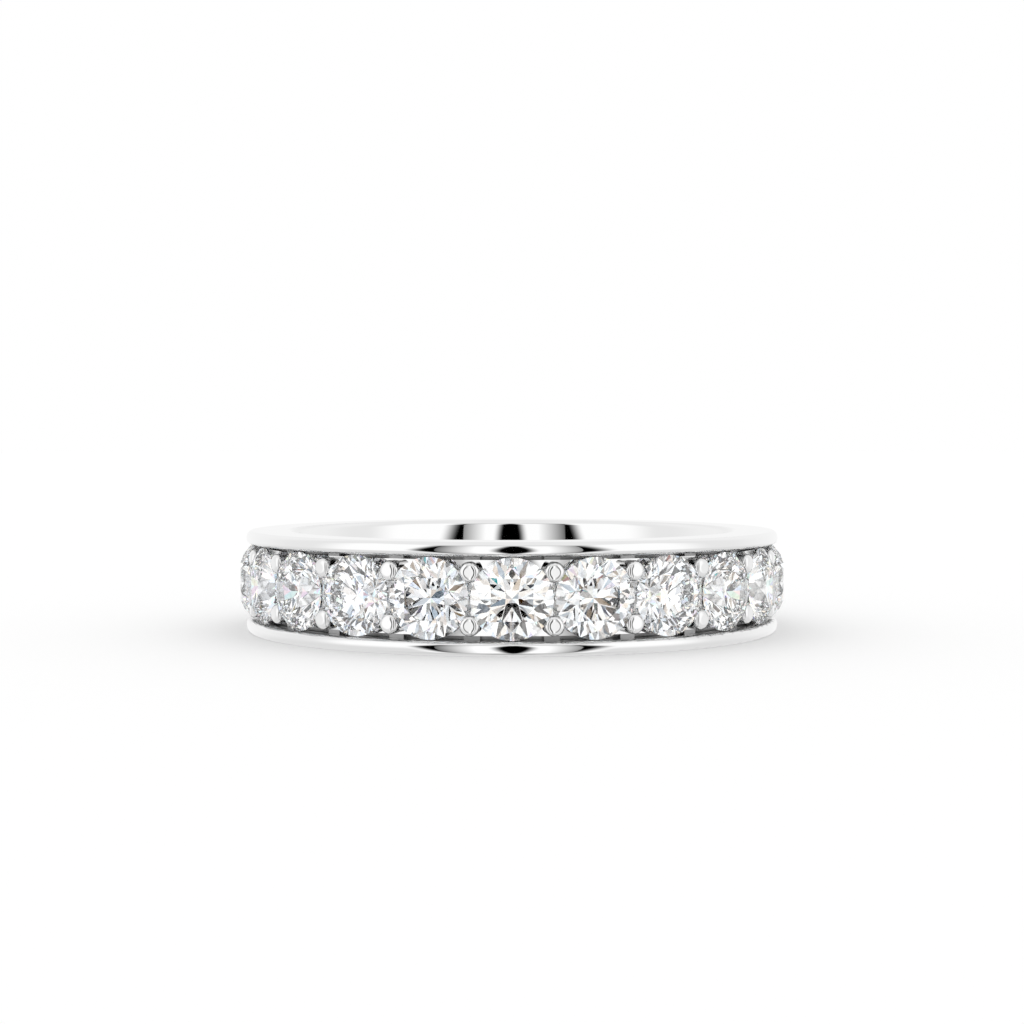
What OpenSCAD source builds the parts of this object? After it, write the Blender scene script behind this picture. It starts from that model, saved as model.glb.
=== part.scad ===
// Full eternity ring: a comfort fit band with a channel between two crowned rails, filled
// with round brilliant cut stones that shared bead prongs hold. The finger axis is Z, and
// the ring lies on its side face at z = 0, with the first stone facing -Y.

/* [Band] */
// Finger opening, across
finger_d = 16.5; // [14:0.5:21]
// Metal from the finger opening to the top of the rails
wall_t = 1.85; // [1.75:0.05:2.6]
// Width of the band, along the finger
band_w = 3.8; // [3.7:0.1:4.6]
// Straight part in the middle of the finger opening, along the finger
land_w = 1.5; // [1.4:0.1:2]
// Radius of the comfort curve on each side of that straight part
comfort_r = 5.4; // [5:0.2:12]
// Rounding of the edges of the finger opening
inner_edge_r = 0.25; // [0.15:0.01:0.3]
// Radius of the crown across a rail, as a share of the rail's width
crown_share = 0.93; // [0.85:0.01:1.2]
// Top of that crown, from the side face, as a share of the rail's width
crown_at_share = 0.6; // [0.55:0.01:0.65]
// Rounding of a rail into the side face, as a share of the rail's width
outer_edge_share = 0.43; // [0.3:0.01:0.45]
// Rounding of a rail into the channel, as a share of the width inside the crown's top
channel_edge_share = 0.97; // [0.3:0.01:0.98]
// Depth of the channel floor below the stones' girdles
floor_drop = 0.38; // [0.3:0.02:0.5]

/* [Stones] */
// Girdle diameter of one stone
stone_d = 2.77; // [2.3:0.01:2.9]
// Smallest gap between neighbouring girdles
girdle_gap = 0.03; // [0.02:0.01:0.1]
// Height of the tables above the rails
table_rise = 0.22; // [0.1:0.005:0.25]
// Table, corner to corner, as a share of the girdle diameter
table_share = 0.55; // [0.52:0.01:0.62]
// Tilt of the bezel facets
crown_tilt = 34; // [32:0.5:36]
// Tilt of the pavilion main facets
pavilion_tilt = 40.8; // [40:0.2:41.6]
// Reach of the star facets from the table towards the girdle, as a share
star_share = 0.5; // [0.45:0.01:0.6]
// Reach of the lower half facets from the girdle towards the culet, as a share
lower_half_share = 0.77; // [0.7:0.01:0.82]
// Girdle thickness at its thick points
girdle_t = 0.11; // [0.09:0.01:0.14]
// Flats along the girdle under each half facet
girdle_steps = 3; // [2:1:4]

/* [Setting] */
// Clearance between a stone and the seat cut for it
seat_clearance = 0.02; // [0.01:0.005:0.03]
// Clearance between a girdle and the channel walls
wall_clearance = 0.03; // [0.025:0.005:0.06]
// Extra tilt of a seat over the lower half facets
seat_relief = 1.5; // [1:0.5:4]
// Extra tilt of the undercut in a bead prong over the upper half facets
claw_relief = 3; // [2:0.5:6]
// Width of the groove cut into the floor along each channel wall
groove_w = 0.14; // [0.06:0.01:0.16]
// Depth of that groove
groove_depth = 0.3; // [0.1:0.05:0.4]
// Floor left whole between grooves, beside each pair of bead prongs
bridge_w = 0.54; // [0.4:0.02:0.7]
// Bead prong diameter
bead_d = 0.71; // [0.56:0.01:0.74]
// Height of the bead prongs above the rails, or below them where it is negative
bead_rise = -0.02; // [-0.06:0.01:0.08]
// Rounding of a bead prong's edge, round its flat top
bead_shoulder_r = 0.2; // [0.1:0.01:0.25]
// Gap between a bead prong and the channel wall
bead_gap = 0.17; // [0.14:0.01:0.24]
// Through hole behind each stone
light_hole_d = 1.2; // [0.8:0.1:1.4]

/* [Hidden] */
$fn = 96;
finger_r = finger_d / 2;
rail_r = finger_r + wall_t;
stone_r = stone_d / 2;
channel_w = stone_d + 2 * wall_clearance;

// A rail's cross-section, x from the finger axis and y from the middle of the band: the
// centre of its crown, and of the roundings inside it on both sides.
rail_w = (band_w - channel_w) / 2;
crown_r = crown_share * rail_w;
outer_edge_r = outer_edge_share * rail_w;
channel_edge_r = channel_edge_share * (1 - crown_at_share) * rail_w;
crown_centre = [rail_r - crown_r, band_w / 2 - crown_at_share * rail_w];
outer_edge_y = band_w / 2 - outer_edge_r;
outer_edge_centre = [crown_centre.x + leg(crown_r - outer_edge_r, outer_edge_y - crown_centre.y), outer_edge_y];
channel_edge_y = channel_w / 2 + channel_edge_r;
channel_edge_centre = [
    crown_centre.x + leg(crown_r - channel_edge_r, crown_centre.y - channel_edge_y), channel_edge_y];

// The finger opening's cross-section, likewise.
comfort_centre = [finger_r + comfort_r, land_w / 2];
inner_edge_y = band_w / 2 - inner_edge_r;
inner_edge_centre = [
    comfort_centre.x - leg(comfort_r - inner_edge_r, inner_edge_y - comfort_centre.y), inner_edge_y];

// Each table corner, bezel facet and pavilion main lies on one of eight main lines,
// half a facet step round from the stone's own X axis.
main_step = 360 / 8;
half_step = main_step / 2;
quarter_step = main_step / 4;
table_r = stone_r * table_share;
table_flat_r = table_r * cos(half_step);
crown_h = (stone_r - table_r) * tan(crown_tilt);
pavilion_h = stone_r * tan(pavilion_tilt);

// Tip of a star facet: its place on the line between two bezel facets.
star_tip_r = table_flat_r + star_share * (stone_r - table_flat_r);
star_tip_z = crown_h - (star_tip_r * cos(half_step) - table_r) * tan(crown_tilt);
star_tilt = atan((crown_h - star_tip_z) / (star_tip_r - table_flat_r));
upper_half_tilt = atan(star_tip_z / ((stone_r - star_tip_r) * cos(quarter_step)));

// Tip of a pair of lower half facets, on the edge between two pavilion mains.
lower_tip_r = stone_r * (1 - lower_half_share);
lower_tip_z = (stone_r - lower_tip_r * cos(half_step)) * tan(pavilion_tilt);
lower_half_tilt = atan(lower_tip_z / ((stone_r - lower_tip_r) * cos(quarter_step)));

// Each stone stands on its own local Z, with the bottom of its girdle at zero.
table_z = girdle_t + crown_h;
girdle_place_r = rail_r + table_rise - table_z;
floor_r = girdle_place_r - floor_drop;
stone_angle = 2 * atan((stone_r + girdle_gap / 2) / girdle_place_r);
stone_count = floor(360 / stone_angle);
pitch = 360 / stone_count;

seat_r = stone_r + seat_clearance;
seat_tilt = lower_half_tilt + seat_relief;
light_hole_r = light_hole_d / 2;
light_hole_top_z = -seat_clearance - (seat_r - light_hole_r) * tan(seat_tilt);
light_hole_end_z = finger_r - light_hole_r - girdle_place_r;
bead_top_r = rail_r + bead_rise;
claw_tilt = upper_half_tilt + claw_relief;
claw_foot_z = girdle_t + seat_clearance;
claw_top_z = bead_top_r - girdle_place_r + seat_clearance;
claw_top_r = seat_r - (claw_top_z - claw_foot_z) / tan(claw_tilt);

bead_r = bead_d / 2;
bead_z = channel_w / 2 - bead_gap - bead_r;
bead_root_r = floor_r - groove_depth;
shoulder_x = bead_r - bead_shoulder_r;
shoulder_z = bead_top_r - bead_root_r - bead_shoulder_r;

// The other short side of a right triangle, from its longest side and one short side.
function leg(longest, short) = sqrt(longest * longest - short * short);

// The part of a disc between the rays from its centre through two points.
module slice_2d(centre, r, a, b) {
    reach = 8;
    intersection() {
        translate(centre) circle(r);
        polygon([centre, centre + reach * (a - centre), centre + reach * (b - centre)]);
    }
}

// One rail: three arcs, each tangent to the next, from the side face to the channel wall.
module rail_2d() {
    translate(outer_edge_centre) circle(outer_edge_r);
    slice_2d(crown_centre, crown_r, outer_edge_centre, channel_edge_centre);
    translate(channel_edge_centre) circle(channel_edge_r);
    polygon([
        [finger_r, channel_w / 2],
        [finger_r, band_w / 2],
        [outer_edge_centre.x, band_w / 2],
        outer_edge_centre,
        crown_centre,
        channel_edge_centre,
        [channel_edge_centre.x, channel_w / 2],
    ]);
}

// All that lies outside the finger opening on one side of the middle: the straight part,
// the comfort curve, and the rounded edge that is tangent to it.
module bore_side_2d() {
    land_end = [finger_r, land_w / 2];
    translate([finger_r, 0]) square([wall_t, land_w / 2]);
    slice_2d(comfort_centre, comfort_r, land_end, inner_edge_centre);
    translate(inner_edge_centre) circle(inner_edge_r);
    polygon([
        inner_edge_centre,
        comfort_centre,
        [comfort_centre.x, band_w / 2],
        [inner_edge_centre.x, band_w / 2],
    ]);
}

module both_sides() {
    children();
    mirror([0, 1]) children();
}

module band_2d() {
    intersection() {
        union() {
            translate([finger_r, -band_w / 2]) square([floor_r - finger_r, band_w]);
            both_sides() rail_2d();
        }
        both_sides() bore_side_2d();
    }
}

// The two grooves along the channel walls, with a bridge left at every pair of prongs.
module groove_cutter() {
    groove_y = channel_w / 2 - groove_w;
    difference() {
        rotate_extrude() both_sides() translate([floor_r - groove_depth, groove_y])
            square([wall_t, groove_w]);
        for (i = [0:stone_count - 1]) rotate([0, 0, (i + 0.5) * pitch - 90])
            translate([finger_r, -bridge_w / 2, -band_w / 2]) cube([2 * wall_t, bridge_w, band_w]);
    }
}

// Half the cross-section of a bead prong, from its root in the channel floor: a straight
// stem, a rounded shoulder, and a flat top.
module bead_2d() {
    square([bead_r, shoulder_z]);
    square([shoulder_x, shoulder_z + bead_shoulder_r]);
    translate([shoulder_x, shoulder_z]) intersection() {
        circle(bead_shoulder_r);
        square(bead_shoulder_r);
    }
}

module bead_prong() {
    rotate_extrude() bead_2d();
}

// What is cut away for one stone: its seat, the undercut in the bead prongs over its
// crown, and the through hole that lets light in behind it.
module seat_cutter() {
    rotate_extrude() polygon([
        [0, light_hole_end_z],
        [light_hole_r, light_hole_end_z],
        [light_hole_r, light_hole_top_z],
        [seat_r, -seat_clearance],
        [seat_r, claw_foot_z],
        [claw_top_r, claw_top_z],
        [0, claw_top_z],
    ]);
}

// Places its children at an angle round the band, with their Z pointing outwards.
module around(angle, r) {
    translate([0, 0, band_w / 2]) rotate([0, 0, angle - 90]) translate([r, 0, 0])
        rotate([0, 90, 0]) children();
}

module ring_band() {
    color("#d8dade") difference() {
        union() {
            translate([0, 0, band_w / 2]) rotate_extrude() band_2d();
            for (i = [0:stone_count - 1], side = [-1, 1])
                around((i + 0.5) * pitch, bead_root_r) translate([side * bead_z, 0, 0]) bead_prong();
        }
        translate([0, 0, band_w / 2]) groove_cutter();
        for (i = [0:stone_count - 1]) around(i * pitch, girdle_place_r) seat_cutter();
    }
}

function at(azimuth, r, z) = [r * cos(azimuth), r * sin(azimuth), z];

// How far the plane of a half facet has fallen at the girdle, at an angle from its middle.
// It is nothing at the facet's two ends, so this scallops both edges of the girdle.
function girdle_fall(angle, tilt) = stone_r * (cos(angle) - cos(quarter_step)) * tan(tilt);
function from_middle(azimuth) = abs(azimuth % half_step - quarter_step);

// A round brilliant of 57 facets and a girdle, with every facet a flat polygon.
module brilliant() {
    girdle_n = 16 * girdle_steps;
    girdle_azimuths = [for (j = [0:girdle_n - 1]) j * half_step / girdle_steps];
    points = concat(
        [for (k = [0:7]) at((k + 0.5) * main_step, table_r, table_z)],
        [for (k = [0:7]) at(k * main_step, star_tip_r, girdle_t + star_tip_z)],
        [for (a = girdle_azimuths) at(a, stone_r, girdle_t - girdle_fall(from_middle(a), upper_half_tilt))],
        [for (a = girdle_azimuths) at(a, stone_r, girdle_fall(from_middle(a), lower_half_tilt))],
        [for (k = [0:7]) at(k * main_step, lower_tip_r, -lower_tip_z)],
        [[0, 0, -pavilion_h]]
    );
    star_tips = 8;
    upper_girdle = 16;
    lower_girdle = upper_girdle + girdle_n;
    lower_tips = lower_girdle + girdle_n;
    culet = lower_tips + 8;
    main_at = girdle_steps;
    faces = concat(
        [[for (k = [7:-1:0]) k]],
        [for (k = [0:7]) [(k + 7) % 8, k, star_tips + k]],
        [for (k = [0:7]) [k, star_tips + (k + 1) % 8, upper_girdle + (2 * k + 1) * main_at, star_tips + k]],
        [for (k = [0:15]) concat(
            [star_tips + floor((k + 1) / 2) % 8],
            [for (j = [girdle_steps:-1:0]) upper_girdle + (k * girdle_steps + j) % girdle_n])],
        [for (j = [0:girdle_n - 1]) [
            upper_girdle + j, upper_girdle + (j + 1) % girdle_n,
            lower_girdle + (j + 1) % girdle_n, lower_girdle + j]],
        [for (k = [0:15]) concat(
            [lower_tips + floor((k + 1) / 2) % 8],
            [for (j = [0:girdle_steps]) lower_girdle + (k * girdle_steps + j) % girdle_n])],
        [for (k = [0:7]) [lower_tips + k, lower_girdle + (2 * k + 1) * main_at, lower_tips + (k + 1) % 8, culet]]
    );
    polyhedron(points, faces);
}

module stone(i) {
    color("#eef3f8") around((i - 1) * pitch, girdle_place_r) brilliant();
}

ring_band();
for (i = [1:stone_count]) stone(i);
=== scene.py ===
# Full eternity ring, dressed for the photograph: a polished white gold band set all round
# with round brilliant cut diamonds. Lengths are in metres, as the frame gives them.
import math

import bpy
import numpy as np
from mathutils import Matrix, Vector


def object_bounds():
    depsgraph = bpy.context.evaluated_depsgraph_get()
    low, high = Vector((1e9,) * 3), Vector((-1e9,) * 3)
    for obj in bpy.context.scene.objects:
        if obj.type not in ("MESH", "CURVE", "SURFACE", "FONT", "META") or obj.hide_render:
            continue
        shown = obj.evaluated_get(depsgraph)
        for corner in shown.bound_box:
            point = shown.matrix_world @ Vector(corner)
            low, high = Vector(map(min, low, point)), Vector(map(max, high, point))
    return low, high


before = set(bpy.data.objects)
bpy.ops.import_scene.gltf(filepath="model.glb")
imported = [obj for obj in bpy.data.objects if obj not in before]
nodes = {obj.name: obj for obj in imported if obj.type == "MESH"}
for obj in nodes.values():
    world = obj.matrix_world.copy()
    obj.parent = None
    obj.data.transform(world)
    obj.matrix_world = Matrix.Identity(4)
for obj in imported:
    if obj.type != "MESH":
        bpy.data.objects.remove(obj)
cadBox = [list(corner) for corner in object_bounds()]
mm = 0.001
bandMiddle = (cadBox[0][2] + cadBox[1][2]) / 2  # its height over the table
smooth = {"interpolation_type": "SMOOTHSTEP"}  # for a Map Range node eased at both its ends
print("frame loaded:", len(nodes), "nodes")


def linearColour(hexValue):
    # sRGB hex to linear light: a straight part near black, then a power of 2.4
    channels = []
    for i in (0, 2, 4):
        c = int(hexValue[i:i + 2], 16) / 255
        channels.append(c / 12.92 if c <= 0.04045 else ((c + 0.055) / 1.055) ** 2.4)
    return (*channels, 1.0)


def addNode(tree, kind, inputs=(), **settings):
    # settings are the node's properties. inputs go to its sockets, in order or by name: each
    # is a value, an output of another node, or that node itself for its first output
    node = tree.nodes.new("ShaderNode" + kind)
    for name, value in settings.items():
        setattr(node, name, value)
    if isinstance(inputs, dict):
        pairs = [(node.inputs[name], source) for name, source in inputs.items()]
    else:
        pairs = zip([socket for socket in node.inputs if socket.enabled], inputs)
    for socket, source in pairs:
        if isinstance(source, bpy.types.Node):
            source = next(output for output in source.outputs if output.enabled)
        if isinstance(source, bpy.types.NodeSocket):
            tree.links.new(source, socket)
        else:
            socket.default_value = source
    return node


def newMaterial(name):
    material = bpy.data.materials.new(name)
    material.use_nodes = True
    material.node_tree.nodes.clear()
    return material, material.node_tree


# White gold under rhodium plate, turned, then polished to a mirror: the eye sees the studio
# in it, sharp but for a trace of haze left by the polishing wheel. The narrow grooves along
# the channel walls, and the bridges left across them beside the prongs, are as the cutter
# left them, because no wheel reaches in: dull, and their colour is darkened to grey as painted
# shade in these recesses. The rails' edges over the channel are burnished with a hand tool
# after the stones are set, so they are a little hazy.
goldLook = {
    "colour": "EBEBEB",
    "roughness": (0.02, 0.045),
    "hazeSpacing": 0.9 * mm,
    "hazeDetail": 3.0,
    "hazeSpread": (0.3, 0.7),
    # painted shade: the grooves take a darker grey than the metal, standing in for the shade in them
    "grooveShadeColour": "ABABAB",
    "grooveRoughness": 0.38,
    "grooveAside": (1.345 * mm, 0.071 * mm),  # a middle and a half width, as the next is too
    "grooveRadius": (9.175 * mm, 0.275 * mm),
    "edgeRoughness": 0.2,
    "edgeAside": (1.53 * mm, 1.46 * mm),  # no haze, and all of it
    "edgeWall": 1.39 * mm,
    "edgeRadius": (9.9 * mm, 0.3 * mm),  # a middle and a half width
}

# The band's cross-section as it was drawn. Each rounding is its centre's distance from the
# band's middle, and its radius.
bandSection = {
    "crown": (1.609 * mm, 0.45105 * mm),
    "outerEdge": (1.69145 * mm, 0.20855 * mm),
    "channelEdge": (1.60318 * mm, 0.18818 * mm),
    "comfort": (0.75 * mm, 5.4 * mm),
    "innerEdge": (1.65 * mm, 0.25 * mm),
    "railsOver": 9.6 * mm,  # radii from the finger axis
    "openingUnder": 8.6 * mm,
    "openingWall": 8.2502 * mm,
    "channelWall": 1.4148 * mm,  # distances from the band's middle
    "holesWithin": 0.7 * mm,
}


def meetingPoint(large, small):
    # One rounding goes over into a smaller one on the line through both their centres
    return large[0] + (small[0] - large[0]) * large[1] / (large[1] - small[1])


def exactNormal(tree, section, up, aside, radius, direction):
    # Polish shows every small step between the flats that a surface is drawn with, so the
    # rails and the finger opening take the normal of their true roundings. Its sideways part
    # is the distance beside the rounding's centre over its radius, held at 1 on the flat
    # faces, and its part away from the finger axis is the cosine of the arcsine of that,
    # towards the axis in the opening
    crown, comfort = section["crown"], section["comfort"]
    outerEdge, channelEdge = section["outerEdge"], section["channelEdge"]
    innerEdge = section["innerEdge"]
    isOuter = addNode(tree, "Math", [aside, meetingPoint(crown, outerEdge)], operation="GREATER_THAN")
    isChannel = addNode(tree, "Math", [aside, meetingPoint(crown, channelEdge)], operation="LESS_THAN")
    isInner = addNode(tree, "Math", [aside, meetingPoint(comfort, innerEdge)], operation="GREATER_THAN")
    inOpening = addNode(tree, "Math", [radius, section["openingUnder"]], operation="LESS_THAN")
    rounding = []
    for i in (0, 1):
        rail = addNode(tree, "Mix", [isOuter, crown[i], outerEdge[i]])
        rail = addNode(tree, "Mix", [isChannel, rail, channelEdge[i]])
        opening = addNode(tree, "Mix", [isInner, comfort[i], innerEdge[i]])
        rounding.append(addNode(tree, "Mix", [inOpening, rail, opening]))
    fromCentre = addNode(tree, "Math", [aside, rounding[0]], operation="SUBTRACT")
    share = addNode(tree, "Math", [fromCentre, rounding[1]], operation="DIVIDE")
    share = addNode(tree, "Math", [share, 1.0], operation="MINIMUM")
    least = addNode(tree, "Math", [inOpening, 1.0], operation="SUBTRACT")
    sideways = addNode(tree, "Math", [share, least], operation="MAXIMUM")
    slope = addNode(tree, "Math", [sideways], operation="ARCSINE")
    outwards = addNode(tree, "Math", [slope], operation="COSINE")
    facing = addNode(tree, "Math", [inOpening, -2.0, 1.0], operation="MULTIPLY_ADD")
    outwards = addNode(tree, "Math", [facing, outwards], operation="MULTIPLY")

    side = addNode(tree, "Math", [up], operation="SIGN")
    upwards = addNode(tree, "Math", [side, sideways], operation="MULTIPLY")
    across = addNode(tree, "VectorMath", [direction, outwards], operation="SCALE")
    along = addNode(tree, "CombineXYZ", {"Z": upwards})
    exact = addNode(tree, "VectorMath", [across, along], operation="ADD")

    # elsewhere the normal stays as drawn: channel floor, grooves, prongs, seats and holes
    farOut = addNode(tree, "Math", [radius, section["railsOver"]], operation="GREATER_THAN")
    besideChannel = addNode(tree, "Math", [aside, section["channelWall"]], operation="GREATER_THAN")
    onRail = addNode(tree, "Math", [farOut, besideChannel], operation="MULTIPLY")
    besideHoles = addNode(tree, "Math", [aside, section["holesWithin"]], operation="GREATER_THAN")
    besideHoles = addNode(tree, "Math", [inOpening, besideHoles], operation="MULTIPLY")
    onWall = addNode(tree, "Math", [radius, section["openingWall"]], operation="LESS_THAN")
    onWall = addNode(tree, "Math", [besideHoles, onWall], operation="MAXIMUM")
    isExact = addNode(tree, "Math", [onRail, onWall], operation="MAXIMUM")
    asDrawn = addNode(tree, "NewGeometry").outputs["Normal"]
    return addNode(tree, "Mix", [isExact, asDrawn, exact], data_type="VECTOR")


def makeWhiteGold(look, section):
    material, tree = newMaterial("whiteGoldRhodiumPolished")
    place = addNode(tree, "TexCoord").outputs["Object"]
    haze = addNode(tree, "TexNoise", {
        "Vector": place, "Scale": 1 / look["hazeSpacing"], "Detail": look["hazeDetail"]})
    polish = addNode(tree, "MapRange", [haze, *look["hazeSpread"], *look["roughness"]])

    x, y, z = addNode(tree, "SeparateXYZ", [place]).outputs
    up = addNode(tree, "Math", [z, bandMiddle], operation="SUBTRACT")
    aside = addNode(tree, "Math", [up], operation="ABSOLUTE")
    flat = addNode(tree, "CombineXYZ", [x, y])
    radius = addNode(tree, "VectorMath", [flat], operation="LENGTH")
    direction = addNode(tree, "VectorMath", [flat], operation="NORMALIZE")

    # each mask is 1 between two distances from the band's middle and two radii, else 0
    grooveWidth = addNode(tree, "Math", [aside, *look["grooveAside"]], operation="COMPARE")
    grooveDepth = addNode(tree, "Math", [radius, *look["grooveRadius"]], operation="COMPARE")
    inGroove = addNode(tree, "Math", [grooveWidth, grooveDepth], operation="MULTIPLY")
    edgeWidth = addNode(tree, "MapRange", [aside, *look["edgeAside"]], **smooth)
    besideChannel = addNode(tree, "Math", [aside, look["edgeWall"]], operation="GREATER_THAN")
    edgeWidth = addNode(tree, "Math", [edgeWidth, besideChannel], operation="MULTIPLY")
    edgeDepth = addNode(tree, "Math", [radius, *look["edgeRadius"]], operation="COMPARE")
    onEdge = addNode(tree, "Math", [edgeWidth, edgeDepth], operation="MULTIPLY")

    # the grooves' darker colour is painted shade; their higher roughness is the real as-cut finish
    metalAndGrooveShade = [linearColour(look["colour"]), linearColour(look["grooveShadeColour"])]
    colour = addNode(tree, "Mix", [inGroove, *metalAndGrooveShade], data_type="RGBA")
    burnished = addNode(tree, "Mix", [onEdge, polish, look["edgeRoughness"]])
    roughness = addNode(tree, "Mix", [inGroove, burnished, look["grooveRoughness"]])
    metal = addNode(tree, "BsdfPrincipled", {
        "Base Color": colour,
        "Metallic": 1.0,
        "Roughness": roughness,
        "Normal": exactNormal(tree, section, up, aside, radius, direction),
    })
    addNode(tree, "OutputMaterial", {"Surface": metal})
    return material


# Colourless diamond, round brilliant cut, with flat facets polished on a diamond wheel: the
# eye sees bright and dark flashes. Its own tint is the trace of cold and warm white that
# neighbouring stones of one grade have.
diamondLook = {
    "ior": 2.417,
    "coldTint": "F6F9FF",
    "warmTint": "FFFEFA",
    "tintSpacing": 3.2 * mm,
    "tintDetail": 1.0,
}


def makeDiamond(look):
    material, tree = newMaterial("diamondBrilliantCut")
    place = addNode(tree, "TexCoord").outputs["Object"]
    grade = addNode(tree, "TexNoise", {
        "Vector": place, "Scale": 1 / look["tintSpacing"], "Detail": look["tintDetail"]})
    tints = [linearColour(look["coldTint"]), linearColour(look["warmTint"])]
    tint = addNode(tree, "Mix", [grade, *tints], data_type="RGBA")
    cut = addNode(tree, "BsdfPrincipled", {
        "Base Color": tint, "Roughness": 0.0, "IOR": look["ior"], "Transmission Weight": 1.0})
    addNode(tree, "OutputMaterial", {"Surface": cut})
    return material


whiteGold = makeWhiteGold(goldLook, bandSection)
diamond = makeDiamond(diamondLook)
for name, node in nodes.items():
    node.material_slots[0].material = diamond if name.startswith("stone_") else whiteGold
print("materials on", len(nodes), "nodes")

# A table of white acrylic, with a matt face and lit a little from below, so the shadows on
# it stay pale. Mirror polished metal sees the studio past it.
tableLook = {
    "colour": "FAFAFA",
    "shadeShare": 0.84,
    "glow": 0.21,
    "halfWidth": 2.0,
}


def makeTable(look):
    # One flat square at height 0, with its middle under the ring
    material, tree = newMaterial("acrylicWhiteMatt")
    colour = linearColour(look["colour"])
    shade = (*[c * look["shadeShare"] for c in colour[:3]], 1.0)
    matt = addNode(tree, "BsdfDiffuse", {"Color": shade})
    glow = addNode(tree, "Emission", {"Color": colour, "Strength": look["glow"]})
    both = addNode(tree, "AddShader", [matt, glow])
    addNode(tree, "OutputMaterial", {"Surface": both})
    material.cycles.emission_sampling = "NONE"
    w = look["halfWidth"]
    mesh = bpy.data.meshes.new("studioTable")
    mesh.from_pydata([(-w, -w, 0), (w, -w, 0), (w, w, 0), (-w, w, 0)], [], [(0, 1, 2, 3)])
    mesh.materials.append(material)
    table = bpy.data.objects.new("studioTable", mesh)
    bpy.context.scene.collection.objects.link(table)
    table.visible_glossy = False
    table.visible_transmission = False


makeTable(tableLook)

# A round tent of white cloth over the ring, which only polished metal and stones see: the
# camera and the table see plain white. Angles are in degrees from the front, right as
# positive, and heights in degrees above level. A panel in front is bright in its middle and
# dims evenly to both sides. A black flag hangs across its middle, and narrows up and down to
# a point. One more hangs at each end, crisp towards the panel, and soft and leaning in
# towards the tent beyond. Over the panel is a grey gap and then the ceiling, and under it
# the table, which is brighter to the sides and behind. Stones, which gather light from a
# wider field than metal, also catch the fine folds of the cloth, and red and blue reach the
# eye from either side of the way that green does, which is the fire of a diamond.
studioLook = {
    "tentRadius": 184 * mm,
    "tentCentreHeight": 1.9 * mm,
    "tentSteps": (96, 48),
    "plainStrength": 1.0,
    "strength": 1.2,
    "afterTableShare": 0.7,
    "stoneAsideFrom": (35, 60),
    "stoneStrength": (1.42, 1.17),  # ahead and aside, as the next two are too
    "foldDepth": (0.19, 0.36),
    "fire": (0.25, 0.9),
    "foldSpacing": 7.0,
    "panelFade": (15.3, 33.5),
    "panelEnds": (-1.35, 29.65),  # a middle and a half width
    "middleFlagCentre": 0.8,
    "middleFlagEdge": (4.9, 10.7),
    "middleFlagNarrowing": 7.8,
    "middleFlagTop": 46.0,
    "middleFlagFoot": 65.0,
    "leftFlagFade": (-36.2, -44.8),
    "rightFlagFade": (33.1, 44.3),
    "sideFlagLean": 0.18,
    "sideFade": (68, 92),
    "side": 0.8,
    "backRise": (100, 130),
    "backDip": (145, 175),
    "back": 0.06,
    "frontHalfAngle": (35, 44.8),
    "gapFrom": (35, 42),
    "gap": 0.6,
    "ceilingFrom": (45, 53),
    "ceiling": 0.82,
    "lowFrom": (-5, -28),
    "low": 0.72,
    "tableFrom": (-46, -64),
    "tableAsideFrom": (12, 38),
    "tableAhead": 0.4,
    "tableAside": 0.62,
    "tableBehindFrom": (60, 120),
    "tableBehind": 0.7,
}


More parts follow.
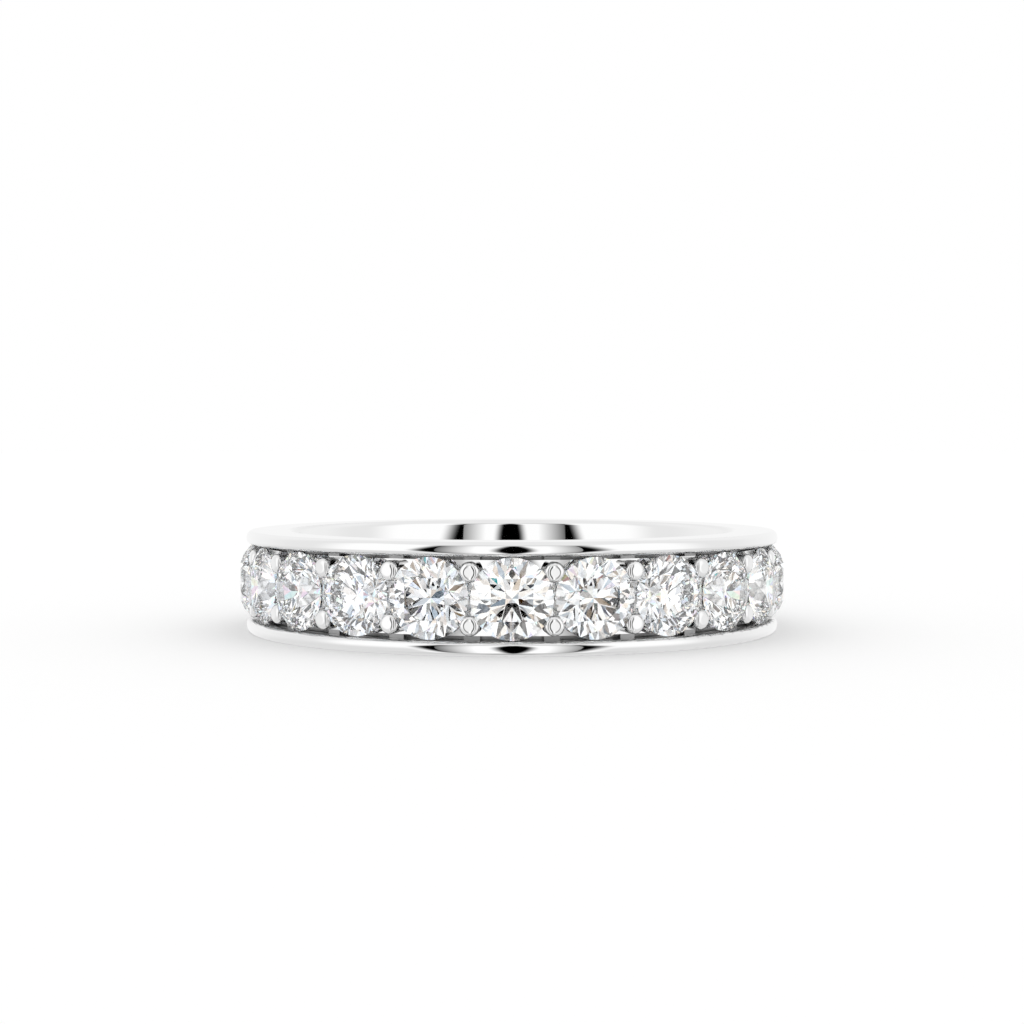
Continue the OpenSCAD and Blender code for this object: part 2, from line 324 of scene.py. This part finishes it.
def brightness(tree, look, angle, height, throughStone):
    # Of the tent, the panel and the table, seen from the ring in one direction
    aside = addNode(tree, "Math", [angle], operation="ABSOLUTE")
    panel = addNode(tree, "MapRange", [aside, *look["panelFade"], 1.0, 0.0])
    onPanel = addNode(tree, "Math", [angle, *look["panelEnds"]], operation="COMPARE")
    panel = addNode(tree, "Math", [panel, onPanel], operation="MULTIPLY")

    # the middle flag's half width falls with the square of the share of its height
    over = addNode(tree, "Math", [height, 0.0], operation="MAXIMUM")
    over = addNode(tree, "Math", [over, look["middleFlagTop"]], operation="DIVIDE")
    under = addNode(tree, "Math", [height, 0.0], operation="MINIMUM")
    under = addNode(tree, "Math", [under, look["middleFlagFoot"]], operation="DIVIDE")
    share = addNode(tree, "Math", [over, under], operation="SUBTRACT")
    share = addNode(tree, "Math", [share, 2.0], operation="POWER")
    reach = addNode(tree, "Math", [angle, look["middleFlagCentre"]], operation="SUBTRACT")
    reach = addNode(tree, "Math", [reach], operation="ABSOLUTE")
    reach = addNode(tree, "Math", [share, look["middleFlagNarrowing"], reach], operation="MULTIPLY_ADD")
    besideFlag = addNode(tree, "MapRange", [reach, *look["middleFlagEdge"]], **smooth)
    front = addNode(tree, "Math", [panel, besideFlag], operation="MULTIPLY")

    # the outer edges of the end flags lean in, by a share of the height above or below level
    lean = addNode(tree, "Math", [height], operation="ABSOLUTE")
    lean = addNode(tree, "Math", [lean, look["sideFlagLean"]], operation="MULTIPLY")
    left = addNode(tree, "Math", [angle, lean], operation="SUBTRACT")
    left = addNode(tree, "MapRange", [left, *look["leftFlagFade"]], **smooth)
    right = addNode(tree, "Math", [angle, lean], operation="ADD")
    right = addNode(tree, "MapRange", [right, *look["rightFlagFade"]], **smooth)
    tent = addNode(tree, "Math", [left, right], operation="MAXIMUM")

    # the tent is a little dimmer at its sides, and has a brighter stripe towards its back
    sides = addNode(tree, "MapRange", [aside, *look["sideFade"], 1.0, look["side"]], **smooth)
    rise = addNode(tree, "MapRange", [aside, *look["backRise"], 0.0, look["back"]], **smooth)
    dip = addNode(tree, "MapRange", [aside, *look["backDip"], 0.0, -look["back"]], **smooth)
    sides = addNode(tree, "Math", [sides, rise], operation="ADD")
    sides = addNode(tree, "Math", [sides, dip], operation="ADD")
    level = addNode(tree, "Math", [front, tent], operation="MAXIMUM")
    level = addNode(tree, "Math", [level, sides], operation="MULTIPLY")

    # low down outside the panel, then the gap over it, the ceiling, and the table last
    outside = addNode(tree, "MapRange", [aside, *look["frontHalfAngle"]], **smooth)
    isLow = addNode(tree, "MapRange", [height, *look["lowFrom"]], **smooth)
    isLow = addNode(tree, "Math", [outside, isLow], operation="MULTIPLY")
    level = addNode(tree, "Mix", [isLow, level, look["low"]])
    within = addNode(tree, "MapRange", [aside, *look["frontHalfAngle"], 1.0, 0.0], **smooth)
    isGap = addNode(tree, "MapRange", [height, *look["gapFrom"]], **smooth)
    isGap = addNode(tree, "Math", [within, isGap], operation="MULTIPLY")
    level = addNode(tree, "Mix", [isGap, level, look["gap"]])
    isCeiling = addNode(tree, "MapRange", [height, *look["ceilingFrom"]], **smooth)
    level = addNode(tree, "Mix", [isCeiling, level, look["ceiling"]])
    table = addNode(tree, "MapRange", [
        aside, *look["tableAsideFrom"], look["tableAhead"], look["tableAside"]], **smooth)
    isBehind = addNode(tree, "MapRange", [aside, *look["tableBehindFrom"]], **smooth)
    table = addNode(tree, "Mix", [isBehind, table, look["tableBehind"]])
    isTable = addNode(tree, "MapRange", [height, *look["tableFrom"]], **smooth)
    level = addNode(tree, "Mix", [isTable, level, table])

    # folds: the sine of the angle times the cosine of the height, both at the folds' spacing
    turn = 2 * math.pi / look["foldSpacing"]
    waves = []
    for value, operation in ((angle, "SINE"), (height, "COSINE")):
        phase = addNode(tree, "Math", [value, turn], operation="MULTIPLY")
        waves.append(addNode(tree, "Math", [phase], operation=operation))
    fold = addNode(tree, "Math", waves, operation="MULTIPLY")
    depth = addNode(tree, "MapRange", [aside, *look["stoneAsideFrom"], *look["foldDepth"]], **smooth)
    depth = addNode(tree, "Math", [throughStone, depth], operation="MULTIPLY")
    folds = addNode(tree, "Math", [fold, depth, 1.0], operation="MULTIPLY_ADD")
    return addNode(tree, "Math", [level, folds], operation="MULTIPLY")


def makeTentCloth(look):
    material, tree = newMaterial("tentClothLitThrough")
    path = addNode(tree, "LightPath").outputs
    throughStone = path["Is Transmission Ray"]
    place = addNode(tree, "TexCoord").outputs["Object"]
    centre = (0, 0, look["tentCentreHeight"])
    fromCentre = addNode(tree, "VectorMath", [place, centre], operation="SUBTRACT")
    direction = addNode(tree, "VectorMath", [fromCentre], operation="NORMALIZE")
    x, y, z = addNode(tree, "SeparateXYZ", [direction]).outputs
    ahead = addNode(tree, "Math", [y, -1.0], operation="MULTIPLY")
    angle = addNode(tree, "Math", [x, ahead], operation="ARCTAN2")
    angle = addNode(tree, "Math", [angle], operation="DEGREES")
    height = addNode(tree, "Math", [z], operation="ARCSINE")
    height = addNode(tree, "Math", [height], operation="DEGREES")

    # red, green and blue are each seen a little further along than the next
    aside = addNode(tree, "Math", [angle], operation="ABSOLUTE")
    shift = addNode(tree, "MapRange", [aside, *look["stoneAsideFrom"], *look["fire"]], **smooth)
    shift = addNode(tree, "Math", [throughStone, shift], operation="MULTIPLY")
    channels = []
    for part in (1.0, 0.0, -1.0):
        moved = []
        for value in (angle, height):
            moved.append(addNode(tree, "Math", [shift, part, value], operation="MULTIPLY_ADD"))
        channels.append(brightness(tree, look, *moved, throughStone))
    seen = addNode(tree, "CombineColor", channels)

    stoneStrength = addNode(tree, "MapRange", [
        aside, *look["stoneAsideFrom"], *look["stoneStrength"]], **smooth)
    strength = addNode(tree, "Mix", [throughStone, look["strength"], stoneStrength])
    offTable = addNode(tree, "Math", [path["Diffuse Depth"], 0.5], operation="GREATER_THAN")
    share = addNode(tree, "Mix", [offTable, 1.0, look["afterTableShare"]])
    strength = addNode(tree, "Math", [strength, share], operation="MULTIPLY")
    light = addNode(tree, "Emission", [seen, strength])
    addNode(tree, "OutputMaterial", {"Surface": light})
    material.cycles.emission_sampling = "NONE"
    return material


def makeTent(look):
    # A sphere: every point lies at the same radius from the tent's centre, its angle round
    # the front going all the way round, and its height from pole to pole
    columns, rows = look["tentSteps"]
    turns = np.arange(columns) * 2 * np.pi / columns
    climbs = np.linspace(-np.pi / 2, np.pi / 2, rows + 1)[1:-1]
    angles, heights = np.meshgrid(turns, climbs)
    level = np.cos(heights)
    rings = np.stack([level * np.sin(angles), -level * np.cos(angles), np.sin(heights)], axis=-1)
    points = np.concatenate([rings.reshape(-1, 3), [[0, 0, -1], [0, 0, 1]]]) * look["tentRadius"]
    points[:, 2] += look["tentCentreHeight"]

    # four corners to a face between two rings, and three where the ends close at a pole
    here = np.arange(columns)
    beside = (here + 1) % columns
    low = (np.arange(rows - 2) * columns)[:, None]
    high = low + columns
    quads = np.stack([low + here, low + beside, high + beside, high + here], axis=-1)
    lastRing = (rows - 2) * columns
    foot = np.stack([np.full(columns, len(points) - 2), beside, here], axis=-1)
    top = np.stack([np.full(columns, len(points) - 1), lastRing + here, lastRing + beside], axis=-1)
    mesh = bpy.data.meshes.new("studioTent")
    mesh.from_pydata(points.tolist(), [], quads.reshape(-1, 4).tolist() + foot.tolist() + top.tolist())
    mesh.materials.append(makeTentCloth(look))
    tent = bpy.data.objects.new("studioTent", mesh)
    bpy.context.scene.collection.objects.link(tent)
    for kind in ("camera", "diffuse", "shadow", "volume_scatter"):
        setattr(tent, "visible_" + kind, False)


def makePlainWorld(look):
    world = bpy.data.worlds.new("plainWhite")
    world.use_nodes = True
    tree = world.node_tree
    tree.nodes.clear()
    light = addNode(tree, "Background", {"Color": (1, 1, 1, 1), "Strength": look["plainStrength"]})
    addNode(tree, "OutputWorld", {"Surface": light})
    world.cycles_visibility.glossy = False
    world.cycles_visibility.transmission = False
    bpy.context.scene.world = world


makeTent(studioLook)
makePlainWorld(studioLook)
print("studio lit")

# The photograph's view: level with the ring and a little above it, from its front
cameraLook = {
    "distance": 70.7 * mm,
    "height": 6.976 * mm,
    "pitchDown": 0.03586,  # radians
    "focalPixels": 1842.27,
    "imagePixels": 1024,
    "sensorWidth": 36.0,
    "clip": (1 * mm, 10.0),
    "bounces": 24,
    "stoneBounces": 20,
    "metalBounces": 16,
}


def makeCamera(look):
    data = bpy.data.cameras.new("photoCamera")
    data.sensor_width = look["sensorWidth"]
    data.lens = look["focalPixels"] / look["imagePixels"] * data.sensor_width
    data.clip_start, data.clip_end = look["clip"]
    camera = bpy.data.objects.new("photoCamera", data)
    camera.location = (0, -look["distance"], look["height"])
    camera.rotation_euler = (math.pi / 2 - look["pitchDown"], 0, 0)
    scene = bpy.context.scene
    scene.collection.objects.link(camera)
    scene.camera = camera
    scene.view_settings.view_transform = "Standard"
    scene.cycles.max_bounces = look["bounces"]
    scene.cycles.transmission_bounces = look["stoneBounces"]
    scene.cycles.glossy_bounces = look["metalBounces"]


makeCamera(cameraLook)
print("camera placed")
